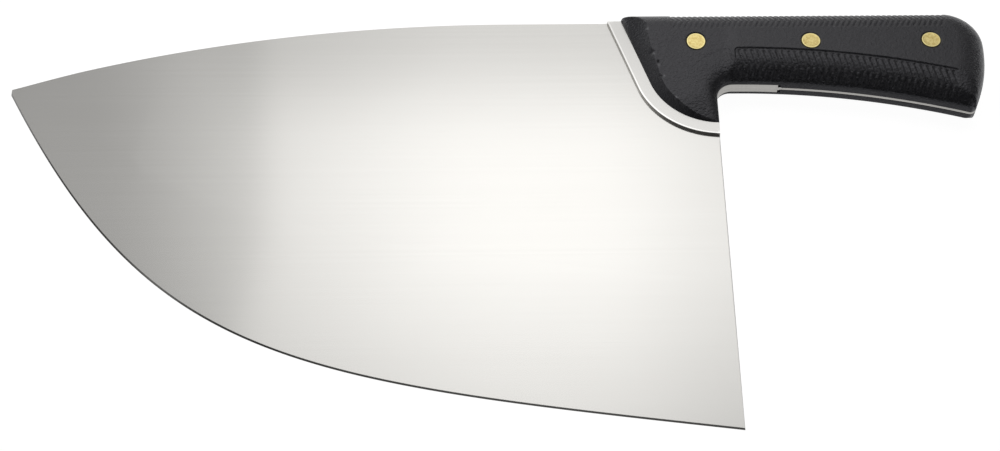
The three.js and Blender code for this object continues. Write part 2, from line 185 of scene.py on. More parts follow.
class Shell:
    """A closed mesh in the making. A point is a plan position with its height over the plate's middle."""

    def __init__(self):
        self.points = []
        self.faces = []

    def add(self, points):
        first = len(self.points)
        self.points += [tuple(p) for p in points]
        return list(range(first, len(self.points)))

    def skin(self, outline, loose=(), holes=(), seams=(), down=False):
        """Covers an outline with triangles through the loose points, along the seams and round the holes."""
        rings = [self.add(outline)] + [self.add(hole) for hole in holes]
        lines = [self.add(seam) for seam in seams]
        free = self.add(loose)
        numbers = [n for row in rings + lines for n in row] + free
        local = {number: i for i, number in enumerate(numbers)}
        edges = [(local[row[i - 1]], local[row[i]]) for row in rings for i in range(len(row))]
        edges += [(local[a], local[b]) for line in lines for a, b in zip(line, line[1:])]
        flat = [Vector(self.points[n][:2]) for n in numbers]
        _, _, triangles, sources, _, _ = delaunay_2d_cdt(flat, edges, [], 1, 1e-5)
        in_hole = {n: k for k, ring in enumerate(rings[1:]) for n in ring}
        for triangle in triangles:
            corners = [numbers[sources[i][0]] for i in triangle]
            belongs = {in_hole.get(n) for n in corners}
            if len(belongs) == 1 and None not in belongs:
                continue
            self.faces.append(tuple(reversed(corners)) if down else tuple(corners))
        return rings

    def wall(self, upper, lower):
        """Joins two rings with as many points."""
        for i in range(len(upper)):
            self.faces.append((upper[i - 1], lower[i - 1], lower[i], upper[i]))

    def mirrored(self):
        """The same piece for the knife's right side."""
        other = Shell()
        other.points = [(x, y, -z) for x, y, z in self.points]
        other.faces = [tuple(reversed(face)) for face in self.faces]
        return other

    def mesh(self, name, crease):
        """The finished mesh, in the frame's metres."""
        work = bmesh.new()
        corners = [work.verts.new((Vector(p) + HEEL_CORNER) * MM) for p in self.points]
        for face in self.faces:
            work.faces.new([corners[n] for n in face])
        return smoothed(outward(name, work), crease)


def outward(name, work):
    """A mesh of what a bmesh holds, its faces outward."""
    bmesh.ops.recalc_face_normals(work, faces=work.faces)
    mesh = bpy.data.meshes.new(name)
    work.to_mesh(mesh)
    work.free()
    return mesh


def smoothed(mesh, crease):
    """The mesh shaded smooth, except where it bends by more than the crease's angle."""
    mesh.shade_smooth()
    mesh.set_sharp_from_angle(angle=math.radians(crease))
    return mesh


def placed(name, data):
    """A new object in the scene, at the origin."""
    thing = bpy.data.objects.new(name, data)
    bpy.context.scene.collection.objects.link(thing)
    return thing


def put_on_knife(name, mesh, slot, *nodes):
    """Makes a mesh a piece of the knife, in place of solids of the frame."""
    piece = placed(name, mesh)
    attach(piece, "root")
    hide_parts(*nodes)


class Wire:
    """A socket in a node tree. Sums on it add Math nodes, and add() brings any other node."""

    def __init__(self, tree, socket=None):
        self.tree = tree
        self.socket = socket

    def feed(self, socket, value):
        if isinstance(value, Wire):
            self.tree.links.new(value.socket, socket)
        else:
            socket.default_value = value

    def add(self, kind, settings=None, inputs=None, output=0):
        node = self.tree.nodes.new(kind)
        for name, value in (settings or {}).items():
            setattr(node, name, value)
        for name, value in (inputs or {}).items():
            self.feed(node.inputs[name], value)
        return Wire(self.tree, node.outputs[output])

    def math(self, operation, *values):
        return self.add("ShaderNodeMath", {"operation": operation}, dict(enumerate(values)))

    def __add__(self, other):
        return self.math("ADD", self, other)

    __radd__ = __add__

    def __sub__(self, other):
        return self.math("SUBTRACT", self, other)

    def __rsub__(self, other):
        return self.math("SUBTRACT", other, self)

    def __mul__(self, other):
        return self.math("MULTIPLY", self, other)

    __rmul__ = __mul__

    def __truediv__(self, other):
        return self.math("DIVIDE", self, other)

    def __rtruediv__(self, other):
        return self.math("DIVIDE", other, self)

    def __pow__(self, other):
        return self.math("POWER", self, other)

    def __rpow__(self, other):
        return self.math("POWER", other, self)

    def ramp(self, low, high, start=0.0, end=1.0):
        """Eases from start to end while this value goes from low to high."""
        span = {"Value": self, "From Min": low, "From Max": high, "To Min": start, "To Max": end}
        return self.add("ShaderNodeMapRange", {"interpolation_type": "SMOOTHSTEP"}, span)

    def tint(self, dark, light):
        """A colour between two, by this value."""
        ends = {0: self, 6: (*dark, 1.0), 7: (*light, 1.0)}
        return self.add("ShaderNodeMix", {"data_type": "RGBA"}, ends, output=2)

    def part(self, axis):
        """One component of this vector."""
        return self.add("ShaderNodeSeparateXYZ", inputs={0: self}, output=axis)


class Finish:
    """A material, with a pattern of noise on object coordinates at hand."""

    def __init__(self, name, **constants):
        self.material = bpy.data.materials.new(name)
        self.material.use_nodes = True
        self.wire = Wire(self.material.node_tree)
        self.shader = self.material.node_tree.nodes["Principled BSDF"]
        self.place = self.wire.add("ShaderNodeTexCoord", output="Object")
        for socket, value in constants.items():
            self.shader.inputs[socket.replace("_", " ")].default_value = value

    def noise(self, stretch, detail=2.0, roughness=0.5):
        """Noise with so many grains to the metre along X, Y and Z."""
        scaled = self.wire.add("ShaderNodeMapping", inputs={"Vector": self.place, "Scale": stretch})
        grain = {"Vector": scaled, "Scale": 1.0, "Detail": detail, "Roughness": roughness}
        return self.wire.add("ShaderNodeTexNoise", inputs=grain)

    def attribute(self, name):
        return self.wire.add("ShaderNodeAttribute", {"attribute_name": name}, output="Fac")

    def relief(self, height, distance):
        bump = {"Height": height, "Distance": distance}
        self.feed("Normal", self.wire.add("ShaderNodeBump", inputs=bump))

    def feed(self, socket, value):
        self.wire.feed(self.shader.inputs[socket], value)


EDGE_POINTS = 150
TIP_POINTS = 40  # so many of them lie near enough to the tip to thin the plate
GRIND_START = 8  # and from this one on the ground face has rows of points
GRIND_SHARES = (0.0, 0.04, 0.08, 0.12, 0.16, 0.2, 0.35, 0.55, 0.75, 0.9, 0.97)
SPINE_POINTS = 90
edge = handled(TIP_LOW, -62.0, 150.0, Vector((0.0, 0.0)), 172.5, 180.0, EDGE_POINTS)
grind = handled(GRIND_TIP, -35.0, 140.0, GRIND_HEEL, 172.5, 140.0, EDGE_POINTS)
spine = handled(SPINE_BEND_START, 180.0, 73.0, TIP_TOP, 19.2, 71.0, SPINE_POINTS)
honed = [BEVEL_WIDTH * min(TIP_BEVEL + i / EDGE_POINTS, 1.0) for i in range(EDGE_POINTS + 1)]
bevel = [p + inwards(edge, i) * honed[i] for i, p in enumerate(edge)]
bevel[-1] = Vector((0.0, BEVEL_WIDTH))


def grind_height(share):
    """Height of the ground face, from the grind line at 0 to the bevel at 1, easing off the flat."""
    blend = 0.2
    fall = share * share / (2 * blend) if share < blend else share - blend / 2
    return HALF_PLATE - (HALF_PLATE - BEVEL_HEIGHT) * fall / (1 - blend / 2)


def plate_height(p):
    """Half the plate's thickness: full, but thinned at the tip, where spine and edge come together."""
    return min(HALF_PLATE, BEVEL_HEIGHT + TIP_TAPER * min((p - q).length for q in bevel[:TIP_POINTS]))


def heel_height(y):
    """Height of the blade's face along the heel's back edge."""
    if y < BEVEL_WIDTH:
        return EDGE_HEIGHT + (BEVEL_HEIGHT - EDGE_HEIGHT) * y / BEVEL_WIDTH
    return grind_height(share_between(y, GRIND_HEEL.y, BEVEL_WIDTH))


def heel_break(p):
    """Rounding of the heel's back edge, smaller where the blade is ground thin."""
    to_bolster = max(BOLSTER_LOW - p.y, 0.02)
    return min(HEEL_BREAK, 0.6 * heel_height(p.y)) * min(1.0, to_bolster / BREAK_FADE)


def spine_break(p):
    to_bolster = max(-BOLSTER_AT_SPINE - p.x, 0.02)
    to_tip = max(BLADE_LENGTH + p.x, 0.1)
    return SPINE_BREAK * min(1.0, to_bolster / BREAK_FADE, to_tip / TIP_FADE)


def tang_break(p):
    return TANG_BREAK if p.x > POCKET_END else 0.0


ROUND_ROWS = ((0.0, 0.0), (22.5, 0.0), (45.0, 0.0), (67.5, 0.0), (90.0, 0.0), (90.0, 1.0))


def rounded_rows(path, radius_at, height_at, spread=1.0):
    """Rows that round a corner along a path, the last one past it: the outer row, and those inside it."""
    rows = []
    for turn, past in ROUND_ROWS:
        angle = math.radians(turn)
        row = []
        for i, point in enumerate(path):
            radius = radius_at(point)
            inset = spread * radius * (1 - math.cos(angle)) + radius * past
            height = height_at(point) - radius * (1 - math.sin(angle))
            row.append((*(point + inwards(path, i) * inset), height))
        rows.append(row)
    return rows[0], rows[1:]


heel_back = straight(bevel[-1], fillet_foot, 2.0)[:-1]
heel_rows = rounded_rows(heel_back, heel_break, lambda p: heel_height(p.y))
top_line = straight(Vector((corner_centre.x, BLADE_HEIGHT)), Vector((-BOLSTER_AT_SPINE, BLADE_HEIGHT)), 6.0)
spine_line = joined(straight(top_line[-1], SPINE_BEND_START, 3.0), spine)
spine_rows = rounded_rows(spine_line, spine_break, plate_height)
grip_rim = joined(underside_path(UNDERSIDE_END, 1.0), butt_path(1.0), top_line)
tang_rows = rounded_rows(grip_rim, tang_break, lambda p: HALF_PLATE)
outline = raised(edge, EDGE_HEIGHT)
outline += heel_rows[0]
outline += tang_rows[0][:-1]
outline += spine_rows[0]
outline.append((*GRIND_TIP, plate_height(GRIND_TIP)))

inner = [p for row in heel_rows[1] for p in row]
inner += [p for row in spine_rows[1] for p in row[2:-2]]
inner += [p for row in tang_rows[1] for p in row if p[0] > POCKET_END + 1.0]
for share in GRIND_SHARES:
    row = [grind[i].lerp(bevel[i], share) for i in range(GRIND_START, EDGE_POINTS)]
    inner += [(*p, min(grind_height(share), plate_height(p))) for p in row if p.x < -2.0]
bevel_seam = raised([*bevel[:-1], bevel[-1].lerp(bevel[-2], 0.12)], BEVEL_HEIGHT)
bores = [raised(circle(place, RIVET_BORE), HALF_PLATE) for place in RIVET_PLACES]

blade_shell = Shell()
blade_rings = []
for side in (1.0, -1.0):
    rows = [[(x, y, side * z) for x, y, z in row] for row in (outline, inner, bevel_seam, *bores)]
    rings = blade_shell.skin(rows[0], rows[1], rows[3:], [rows[2]], down=side < 0.0)
    blade_rings.append(rings)
for left_ring, right_ring in zip(*blade_rings):
    blade_shell.wall(left_ring, right_ring)
blade_mesh = blade_shell.mesh("blade_plate", 9.0)

satin_steel = Finish("satin_blade_steel", Metallic=1.0)
drawn_lines = satin_steel.noise((9.0, 2600.0, 60.0), 3.0)
long_lines = satin_steel.noise((2.5, 700.0, 20.0), 2.0)
cloudy = satin_steel.noise((14.0, 22.0, 14.0), 3.0)
scratches = satin_steel.noise((60.0, 1500.0, 60.0), 1.0).ramp(0.70, 0.78)
lines = 0.6 * drawn_lines + 0.4 * long_lines
satin_steel.feed("Base Color", (lines * 0.6 + cloudy * 0.4).tint((0.70, 0.695, 0.68), (0.80, 0.797, 0.786)))
satin_steel.feed("Roughness", 0.13 + lines * 0.05 + cloudy * 0.03 + scratches * 0.03)
satin_steel.relief(lines, 0.000003)
blade_mesh.materials.append(satin_steel.material)

sawn_steel = Finish("ground_edge_steel", Metallic=1.0)
across_lines = sawn_steel.noise((1400.0, 1400.0, 90.0), 3.0)
layers = sawn_steel.noise((30.0, 30.0, 1100.0), 1.0)
dull_spots = sawn_steel.noise((160.0, 160.0, 160.0), 3.0)
worn = across_lines * 0.3 + dull_spots * 0.3 + layers * 0.4
sawn_steel.feed("Base Color", worn.tint((0.24, 0.233, 0.22), (0.55, 0.54, 0.52)))
sawn_steel.feed("Roughness", 0.3 + across_lines * 0.12 + dull_spots * 0.1)
sawn_steel.relief(across_lines, 0.00003)
blade_mesh.materials.append(sawn_steel.material)
for face in blade_mesh.polygons:
    if abs(face.normal.z) < 0.5:
        face.material_index = 1

put_on_knife("blade_plate", blade_mesh, "blade_steel", "blade")


# Bolsters. Two steel plates are brazed on the faces where blade meets grip, and run back under the scales to
# a square end behind the finger fillet. Their front edge is cut along one line and one long bend and given a
# darker steel; the band that shows is polished, and its broken corner carries a painted highlight.

BOLSTER_FACE = 2.4
BOLSTER_BREAK = 0.16
BREAK_SPREAD = 4.0  # it is this much wider than high
PAINTED_HIGHLIGHT_DEPTH = (1.14, 0.86)  # the corner's painted highlight comes in between these shares of that width
PAINTED_HIGHLIGHT_SPAN = (160.0, 175.0)  # and it drops between these heights
PAINTED_HIGHLIGHT_DROP = 0.5
BOLSTER_TAIL = 26.4
BOLSTER_LEAN = math.radians(18.0)
BOLSTER_BEND = 36.0
front_out = Vector((math.cos(BOLSTER_LEAN), math.sin(BOLSTER_LEAN)))
front_up = Vector((-front_out.y, front_out.x))
bend_rise = BOLSTER_BEND * math.sin(BOLSTER_LEAN)
bend_run = (BLADE_HEIGHT - BOLSTER_LOW - BOLSTER_BEND + bend_rise) * math.tan(BOLSTER_LEAN)
bend_centre = Vector((
    bend_run - BOLSTER_AT_SPINE + BOLSTER_BEND * math.cos(BOLSTER_LEAN),
    BOLSTER_LOW + BOLSTER_BEND,
))


def bolster_line(inset, pitch):
    """The bolster's front edge moved back, from the spine down to the heel's back edge."""
    radius = BOLSTER_BEND - inset
    top = Vector((inset / math.cos(BOLSTER_LEAN) - BOLSTER_AT_SPINE, BLADE_HEIGHT))
    start = 180.0 + math.degrees(BOLSTER_LEAN)
    end = 360.0 - math.degrees(math.acos(-bend_centre.x / radius))
    steps = round(math.radians(end - start) * radius / pitch)
    return joined(
        straight(top, polar(bend_centre, radius, start), pitch),
        arc(bend_centre, radius, start, end, steps),
    )


def behind_bolster(p):
    """Distance of a plan point behind the bolster's front edge."""
    away = p - bend_centre
    if away.dot(front_up) > 0.0:
        return away.dot(front_out) + BOLSTER_BEND
    return 2.0 * BOLSTER_BEND if away.x > 0.0 else BOLSTER_BEND - away.length


tail_low = underside_at(BOLSTER_TAIL)
tail_top = Vector((BOLSTER_TAIL, BLADE_HEIGHT))
front_edge = bolster_line(0.0, 0.8)
broken_rows = rounded_rows(
    front_edge,
    lambda p: BOLSTER_BREAK * min(1.0, (BLADE_HEIGHT - p.y) / 2.0 + 0.1, -p.x / 2.0 + 0.1),
    lambda p: BOLSTER_FACE,
    BREAK_SPREAD,
)
bolster_rest = joined(
    straight(front_edge[-1], fillet_foot, 2.0),
    underside_path(bearing(tail_low, underside_centre), 1.0),
    straight(tail_low, tail_top, 4.0),
    straight(tail_top, front_edge[0], 4.0),
)[1:-1]
bolster_top = broken_rows[0] + raised(bolster_rest, BOLSTER_FACE)
bolster_foot = [(x, y, HALF_PLATE) for x, y, _ in bolster_top]
bolster_inner = [p for row in broken_rows[1] for p in row[2:-2]]
front_bore = circle(RIVET_PLACES[0], RIVET_BORE)

bolster_shell = Shell()
top_rings = bolster_shell.skin(bolster_top, bolster_inner, [raised(front_bore, BOLSTER_FACE)])
foot_rings = bolster_shell.skin(bolster_foot, holes=[raised(front_bore, HALF_PLATE)], down=True)
for top_ring, foot_ring in zip(top_rings, foot_rings):
    bolster_shell.wall(top_ring, foot_ring)

polished_steel = Finish("polished_bolster_steel", Metallic=1.0)
rubbed = polished_steel.noise((500.0, 140.0, 200.0), 2.0)
hazy = polished_steel.noise((45.0, 45.0, 45.0), 3.0)
# The "edge" attribute is a painted highlight: a brighter steel colour on the broken corner, standing in for
# the light it catches.
painted_edge_highlight = polished_steel.attribute("edge")
polish = (0.22 + rubbed * 0.05 + hazy * 0.14) * (1.0 - painted_edge_highlight) + painted_edge_highlight
polished_steel.feed("Base Color", polish.tint((0.60, 0.597, 0.588), (0.98, 0.978, 0.97)))
polished_steel.feed("Roughness", 0.2 + rubbed * 0.03 + hazy * 0.05)
polished_steel.relief(rubbed, 0.000001)

# A darker steel on the bolster's front wall, which draws the dark line along the bolster's edge.
cut_steel = Finish("bolster_edge_steel", Metallic=1.0)
cut_lines = cut_steel.noise((900.0, 900.0, 120.0), 2.0)
cut_stains = cut_steel.noise((120.0, 120.0, 300.0), 2.0)
cut_grain = cut_lines * 0.5 + cut_stains * 0.5
cut_steel.feed("Base Color", cut_grain.tint((0.31, 0.303, 0.285), (0.70, 0.685, 0.65)))
cut_steel.feed("Roughness", 0.36 + cut_lines * 0.12)
cut_steel.relief(cut_lines, 0.00002)


def on_plan(place):
    """Where a place in the frame lies on the knife's plan."""
    return (place / MM - HEEL_CORNER).xy


def store(mesh, name, values):
    """Keeps a number for each point of a mesh, for a material or a tree to read."""
    mesh.attributes.new(name, "FLOAT", "POINT").data.foreach_set("value", values)


for name, half, node in (
    ("bolster_plate_left", bolster_shell, "bolster_left"),
    ("bolster_plate_right", bolster_shell.mirrored(), "bolster_right"),
):
    bolster_mesh = half.mesh(name, 25.0)
    for finish in (polished_steel, sawn_steel, cut_steel):
        bolster_mesh.materials.append(finish.material)
    for face in bolster_mesh.polygons:
        if abs(face.normal.z) < 0.3:
            face.material_index = 2 if behind_bolster(on_plan(face.center)) < 0.3 else 1
    # Painted highlight along the broken corner, half as strong near the spine.
    painted_highlight = []
    for vertex in bolster_mesh.vertices:
        spot = on_plan(vertex.co)
        depth = behind_bolster(spot) / (BOLSTER_BREAK * BREAK_SPREAD)
        kept = 1.0 - PAINTED_HIGHLIGHT_DROP * share_between(spot.y, *PAINTED_HIGHLIGHT_SPAN)
        painted_highlight.append(kept * share_between(depth, *PAINTED_HIGHLIGHT_DEPTH))
    store(bolster_mesh, "edge", painted_highlight)
    put_on_knife(name, bolster_mesh, "bolster_steel", node)


# Scales. Two halves of black moulded plastic are riveted over the tang, their rims ground flush with it. Each
# has a sloped front face with a rounded nose, a side that leans off over the front lobe, a crown along the
# top and butt, and a panel that rolls under behind a groove. Crown and panel carry moulded herringbone ribs.

SCALE_FACE = 11.0
SCALE_FRONT = 5.6  # bolster left showing in front of the scale
FRONT_SETBACK = 6.0
FRONT_LIP = 0.02  # height left at the foot of the front face
NOSE_RISE = 2.2  # near the spine the front face rises steeply at first
NOSE_DEPTH = 1.6
NOSE_SETBACK = 1.8  # and reaches further back than below
NOSE_SPAN = (180.0, 197.0)
ARRIS_ROUND = 0.22
CROWN_LIP = 3.4
CROWN_WIDTH = 10.0
CROWN_ROUND = 0.01  # rounding where the crown meets the side,
LOBE_CROWN_ROUND = 0.4  # more of it over the lobe
BUTT_CROWN_ROUND = 3.0  # and most low on the butt
BUTT_ROUND = 13.0
BUTT_FADE = (90.0, 104.0)
PANEL_WIDTH = 13.5
PANEL_STEP = 0.5
PANEL_LIP = 3.9
HEEL_LIP = 2.8  # the same lip where the lobe thins out along the heel's back edge
LIP_ROUND = 0.5  # rounding of the lip's corner
PANEL_ROLL = 2.3
PANEL_START = 8.2
PANEL_END = 102.5
PANEL_CORNER = 1.2
PANEL_ROUND = 0.2  # rounding where the panel meets the side
FILLET_ROUND = 3.0  # and what is added over the finger fillet
FILLET_FADE = (4.0, 9.0)
STEP_HALF = 0.12
STEP_FADE = (8.0, 13.0)  # the panel's step comes in between these depths
STEP_END = (PANEL_END - 3.0, PANEL_END + 4.0)
GROOVE_DEPTH = 0.38
GROOVE_HALF = 0.18
GROOVE_FADE = (6.0, 11.5)
GROOVE_END = (PANEL_END - 2.0, PANEL_END)
LOBE_SLOPE = math.tan(math.radians(7.0))
LOBE_TOP = 192.0
LOBE_FADE = (3.5, 10.5)  # the lobe's lean dies out between these places behind the heel
HEEL_HINGE = 160.0  # below this the lobe leans more, so that its lower corner thins out on to the bolster
HEEL_HINGE_FALL = math.tan(math.radians(24.2))
HEEL_SLOPE = math.tan(math.radians(14.7))
HEEL_EASE = 3.0
TOE_ROUND = 3.0  # the lower rear corner is rounded off within this distance
TOE_DROP = 2.0
TOE_LIP = 1.3  # and keeps this height
SEAT_RADIUS = 4.15
SEAT_DEPTH = 2.0
SEAT_BREAK = 0.3  # the seat's mouth is broken this deep
SEAT_MOUTH = 0.5  # and this wide
CHIPS = [(Vector((-27.1, 177.8)), 0.7), (Vector((-24.8, 172.6)), 0.6), (Vector((-23.4, 165.4)), 0.55)]
CHIP_DEPTH = 1.2  # times a chip's size
toe_point = polar(toe_centre, BUTT_TOE, (UNDERSIDE_END - 180.0 + SWEEP_START) / 2)


def ease(value, low, high):
    share = share_between(value, low, high)
    return share * share * (3.0 - 2.0 * share)


def bell(distance, width):
    return math.exp(-((distance / width) ** 2))


def lower_of(a, b, reach):
    """The lower of two heights, rounded where they cross."""
    share = max(reach - abs(a - b), 0.0) / reach
    return min(a, b) - share * share * reach * 0.25


def from_underside(p):
    """Distance of a plan point from the heel's back edge, the finger fillet or the underside."""
    if p.x < fillet_centre.x:
        return -p.x if p.y < fillet_centre.y else (p - fillet_centre).length - FINGER_FILLET
    if p.x < underside_centre.x:
        return p.y - UNDERSIDE
    return (p - underside_centre).length - UNDERSIDE_BEND


def from_crown(p):
    """Distance of a plan point from the top line or the butt, and the width of the rounding there."""
    if p.y > corner_centre.y:
        if p.x < corner_centre.x:
            return BLADE_HEIGHT - p.y, CROWN_WIDTH
        turn = bearing(p, corner_centre) / 90.0
        return BUTT_CORNER - (p - corner_centre).length, BUTT_ROUND + (CROWN_WIDTH - BUTT_ROUND) * turn
    if p.x > sweep_centre.x:
        return BUTT_SWEEP - (p - sweep_centre).length, BUTT_ROUND
    return BLADE_HEIGHT - p.y, CROWN_WIDTH


def from_front(p):
    """Distance of a plan point behind the foot of the scale's front face."""
    return behind_bolster(p) - SCALE_FRONT


def panel_border(p):
    """Signed distance from the panel's border, negative inside it: its groove above and its rounded end."""
    ahead = PANEL_START + PANEL_CORNER - p.x
    over = from_underside(p) - PANEL_WIDTH + PANEL_CORNER
    outside = math.hypot(max(ahead, 0.0), max(over, 0.0))
    return outside + min(max(ahead, over), 0.0) - PANEL_CORNER


def crown_turn(p):
    """How far a plan point lies round the crown: 0 at the edge's lip, 90 where it meets the side."""
    depth, width = from_crown(p)
    return math.degrees(math.acos(share_between(depth, width, 0.0)))


def lip_height(p):
    """Height of the lip under the panel: low along the heel's back edge, full height past the fillet."""
    if p.x > fillet_centre.x:
        return PANEL_LIP
    if p.y < fillet_centre.y:
        return HEEL_LIP
    return PANEL_LIP + (HEEL_LIP - PANEL_LIP) * share_between(bearing(p, fillet_centre), 90.0, 180.0)


def leaning_side(p):
    """Height of the side, which leans off over the front lobe and more so near the heel."""
    below = HEEL_HINGE + HEEL_HINGE_FALL * p.x - p.y
    eased = below if below > HEEL_EASE else max(below + HEEL_EASE, 0.0) ** 2 / (4.0 * HEEL_EASE)
    lean = LOBE_SLOPE * max(LOBE_TOP - p.y, 0.0) + (HEEL_SLOPE - LOBE_SLOPE) * eased
    return SCALE_FACE - lean * (1.0 - ease(p.x, *LOBE_FADE))


def rolled_panel(p):
    """Height of the gripping panel, from its lip up to its border, with the step there."""
    low = max(from_underside(p), 0.0)
    share = min(low / PANEL_WIDTH, 1.0)
    lip = lip_height(p)
    round_off = min(LIP_ROUND, lip - BOLSTER_FACE)
    rolled = lip + (SCALE_FACE - PANEL_STEP - lip) * (1.0 - (1.0 - share) ** PANEL_ROLL)
    rolled -= round_off * (1.0 - math.sqrt(1.0 - max(1.0 - low / round_off, 0.0) ** 2))
    past_border = ease(panel_border(p), -STEP_HALF, STEP_HALF) * ease(low, *STEP_FADE)
    past_end = ease(p.x, *STEP_END) * share
    return rolled + PANEL_STEP * max(past_border, past_end) + max(low - PANEL_WIDTH, 0.0)


def behind_front(p):
    """Height of the scale's surface, all but its front face."""
    low = max(from_underside(p), 0.0)
    panel_round = PANEL_ROUND + FILLET_ROUND * (1.0 - ease(p.x, *FILLET_FADE))
    height = lower_of(leaning_side(p), rolled_panel(p), panel_round)
    groove_fade = ease(low, *GROOVE_FADE) * (1.0 - ease(p.x, *GROOVE_END))
    height -= GROOVE_DEPTH * groove_fade * bell(panel_border(p), GROOVE_HALF)
    crown = CROWN_LIP + (SCALE_FACE - CROWN_LIP) * math.sin(math.radians(crown_turn(p)))
    on_panel = ease(low, 1.0, 7.0) * (1.0 - ease(low, PANEL_WIDTH - 4.0, PANEL_WIDTH + 1.0))
    crown_round = CROWN_ROUND + LOBE_CROWN_ROUND * (1.0 - ease(p.x, *LOBE_FADE))
    return lower_of(height, crown, crown_round + BUTT_CROWN_ROUND * ease(p.x, *BUTT_FADE) * on_panel)


def front_face(p):
    """Height of the front face, which starts with a rounded nose near the spine."""
    behind = max(from_front(p), 0.0)
    nose = NOSE_RISE * ease(p.y, *NOSE_SPAN)
    rounded = nose * math.sqrt(1.0 - max(1.0 - behind / NOSE_DEPTH, 0.0) ** 2)
    setback = FRONT_SETBACK + NOSE_SETBACK * ease(p.y, *NOSE_SPAN)
    return BOLSTER_FACE + rounded + (SCALE_FACE - BOLSTER_FACE - nose) * behind / setback


def side_height(p):
    """Height of the scale's surface, with its chips and its rounded lower rear corner."""
    height = lower_of(behind_front(p), front_face(p), ARRIS_ROUND)
    for place, size in CHIPS:
        height -= CHIP_DEPTH * size * bell((p - place).length, size)
    height -= TOE_DROP * max(1.0 - (p - toe_point).length / TOE_ROUND, 0.0) ** 2
    return max(height, BOLSTER_FACE + FRONT_LIP if p.x < POCKET_END else TOE_LIP)


RIM_PITCH = 0.4
REAR_RIM_STEPS = 190
SKIN_PITCH = 0.36
ROW_PITCH = 0.866 * 1.18 * SKIN_PITCH  # the grid's rows are staggered, and drawn out a little
GRID_LEFT, GRID_COLUMNS = -40.0, 440
GRID_LOW, GRID_ROWS = 142.0, 170
CROWN_TURNS = [2.6 * k for k in range(1, 17)]
LIP_INSETS = (0.02, 0.07, 0.16, 0.3, 0.46, 0.66, 0.88, 1.1, 1.32)
ARRIS_STEPS = (-0.24, -0.12, 0.0, 0.12, 0.24)
ARRIS_CELL = 0.3
GROOVE_STEPS = (-0.6, -0.45, -0.3, -0.15, 0.0, 0.15, 0.3, 0.45)
GROOVE_CLEAR = 0.66
FRONT_CLEAR = 0.3
SEAT_STEPS = 64
SEAT_RINGS = (0.13, 0.26, 0.4, 0.56)
SEAT_CLEAR = 0.7

scale_front = bolster_line(SCALE_FRONT, 0.45)
scale_heel = straight(scale_front[-1], fillet_foot, 0.5)
pocket_low = underside_at(POCKET_END)
pocket_top = Vector((POCKET_END, BLADE_HEIGHT))
pocket_bearing = bearing(pocket_low, underside_centre)
underside_fine = joined(
    underside_path(pocket_bearing, RIM_PITCH),
    arc(underside_centre, UNDERSIDE_BEND, pocket_bearing, UNDERSIDE_END, REAR_RIM_STEPS),
)
crown_path = joined(
    butt_path(RIM_PITCH),
    straight(Vector((corner_centre.x, BLADE_HEIGHT)), pocket_top, RIM_PITCH),
    straight(pocket_top, scale_front[0], RIM_PITCH),
)
scale_outline = joined(underside_fine, crown_path, scale_front, scale_heel)

crown_rows = []
for i, point in enumerate(crown_path):
    width = from_crown(point)[1]
    for turn in CROWN_TURNS:
        inside = point + inwards(crown_path, i) * width * (1.0 - math.cos(math.radians(turn)))
        if from_front(inside) > FRONT_CLEAR and from_underside(inside) > 1.0:
            crown_rows.append(inside)

lip_path = joined(scale_heel, underside_fine)
lip_rows = []
for i, point in enumerate(lip_path):
    for inset in LIP_INSETS:
        inside = point + inwards(lip_path, i) * inset
        if from_front(inside) > FRONT_CLEAR and from_crown(inside)[0] > 0.6:
            lip_rows.append(inside)

arris_rows = []
for i, point in enumerate(scale_front[2:-2], start=2):
    into = inwards(scale_front, i)
    near, far = 0.0, FRONT_SETBACK + NOSE_SETBACK
    for _ in range(30):
        middle = (near + far) / 2
        below = front_face(point + into * middle) < behind_front(point + into * middle)
        near, far = (middle, far) if below else (near, middle)
    arris_rows += [point + into * (near + step) for step in ARRIS_STEPS if near + step > 0.2]

groove_rows = []
bend_start = PANEL_START + PANEL_CORNER
for step in GROOVE_STEPS:
    bend = arc(Vector((bend_start, PANEL_WIDTH - PANEL_CORNER)), PANEL_CORNER + step, 180.0, 90.0, 10)
    rise = [(PANEL_START - step, GROOVE_FADE[0] + SKIN_PITCH * k) for k in range(15)]
    run = [(bend_start + SKIN_PITCH * k, PANEL_WIDTH + step) for k in range(1, 258)]
    groove_rows += [underside_at(x, depth) for x, depth in [*rise, *bend, *run]]


def arris_cell(p):
    return round(p.x / ARRIS_CELL), round(p.y / ARRIS_CELL)


beside = [(a, b) for a in (-1, 0, 1) for b in (-1, 0, 1)]
arris_cells = {(i + a, j + b) for i, j in map(arris_cell, arris_rows) for a, b in beside}
grid_rows = []
for row in range(GRID_ROWS):
    for column in range(GRID_COLUMNS):
        along = SKIN_PITCH * (column + 0.5 * (row % 2))
        point = Vector((GRID_LEFT + along, GRID_LOW + ROW_PITCH * row))
        low = from_underside(point)
        deep = from_crown(point)[0] > 3.0 and low > 1.5 and from_front(point) > 0.25
        groove = low > 5.5 and abs(panel_border(point)) < GROOVE_CLEAR and point.x < PANEL_END
        if deep and not groove and arris_cell(point) not in arris_cells:
            grid_rows.append(point)


def from_seat(p):
    """Distance of a plan point from the nearest rivet seat's wall."""
    return min((p - place).length for place in RIVET_PLACES) - SEAT_RADIUS


def on_skin(path):
    """Plan points with their heights on the scale's surface, lowered at the mouths of the rivet seats."""
    mouths = [SEAT_BREAK * (1.0 - ease(from_seat(p), 0.0, SEAT_MOUTH)) for p in path]
    return [(*p, side_height(p) - mouth) for p, mouth in zip(path, mouths)]


def nearest_on(outline, spot):
    return min(range(len(outline)), key=lambda i: (outline[i] - spot).length)


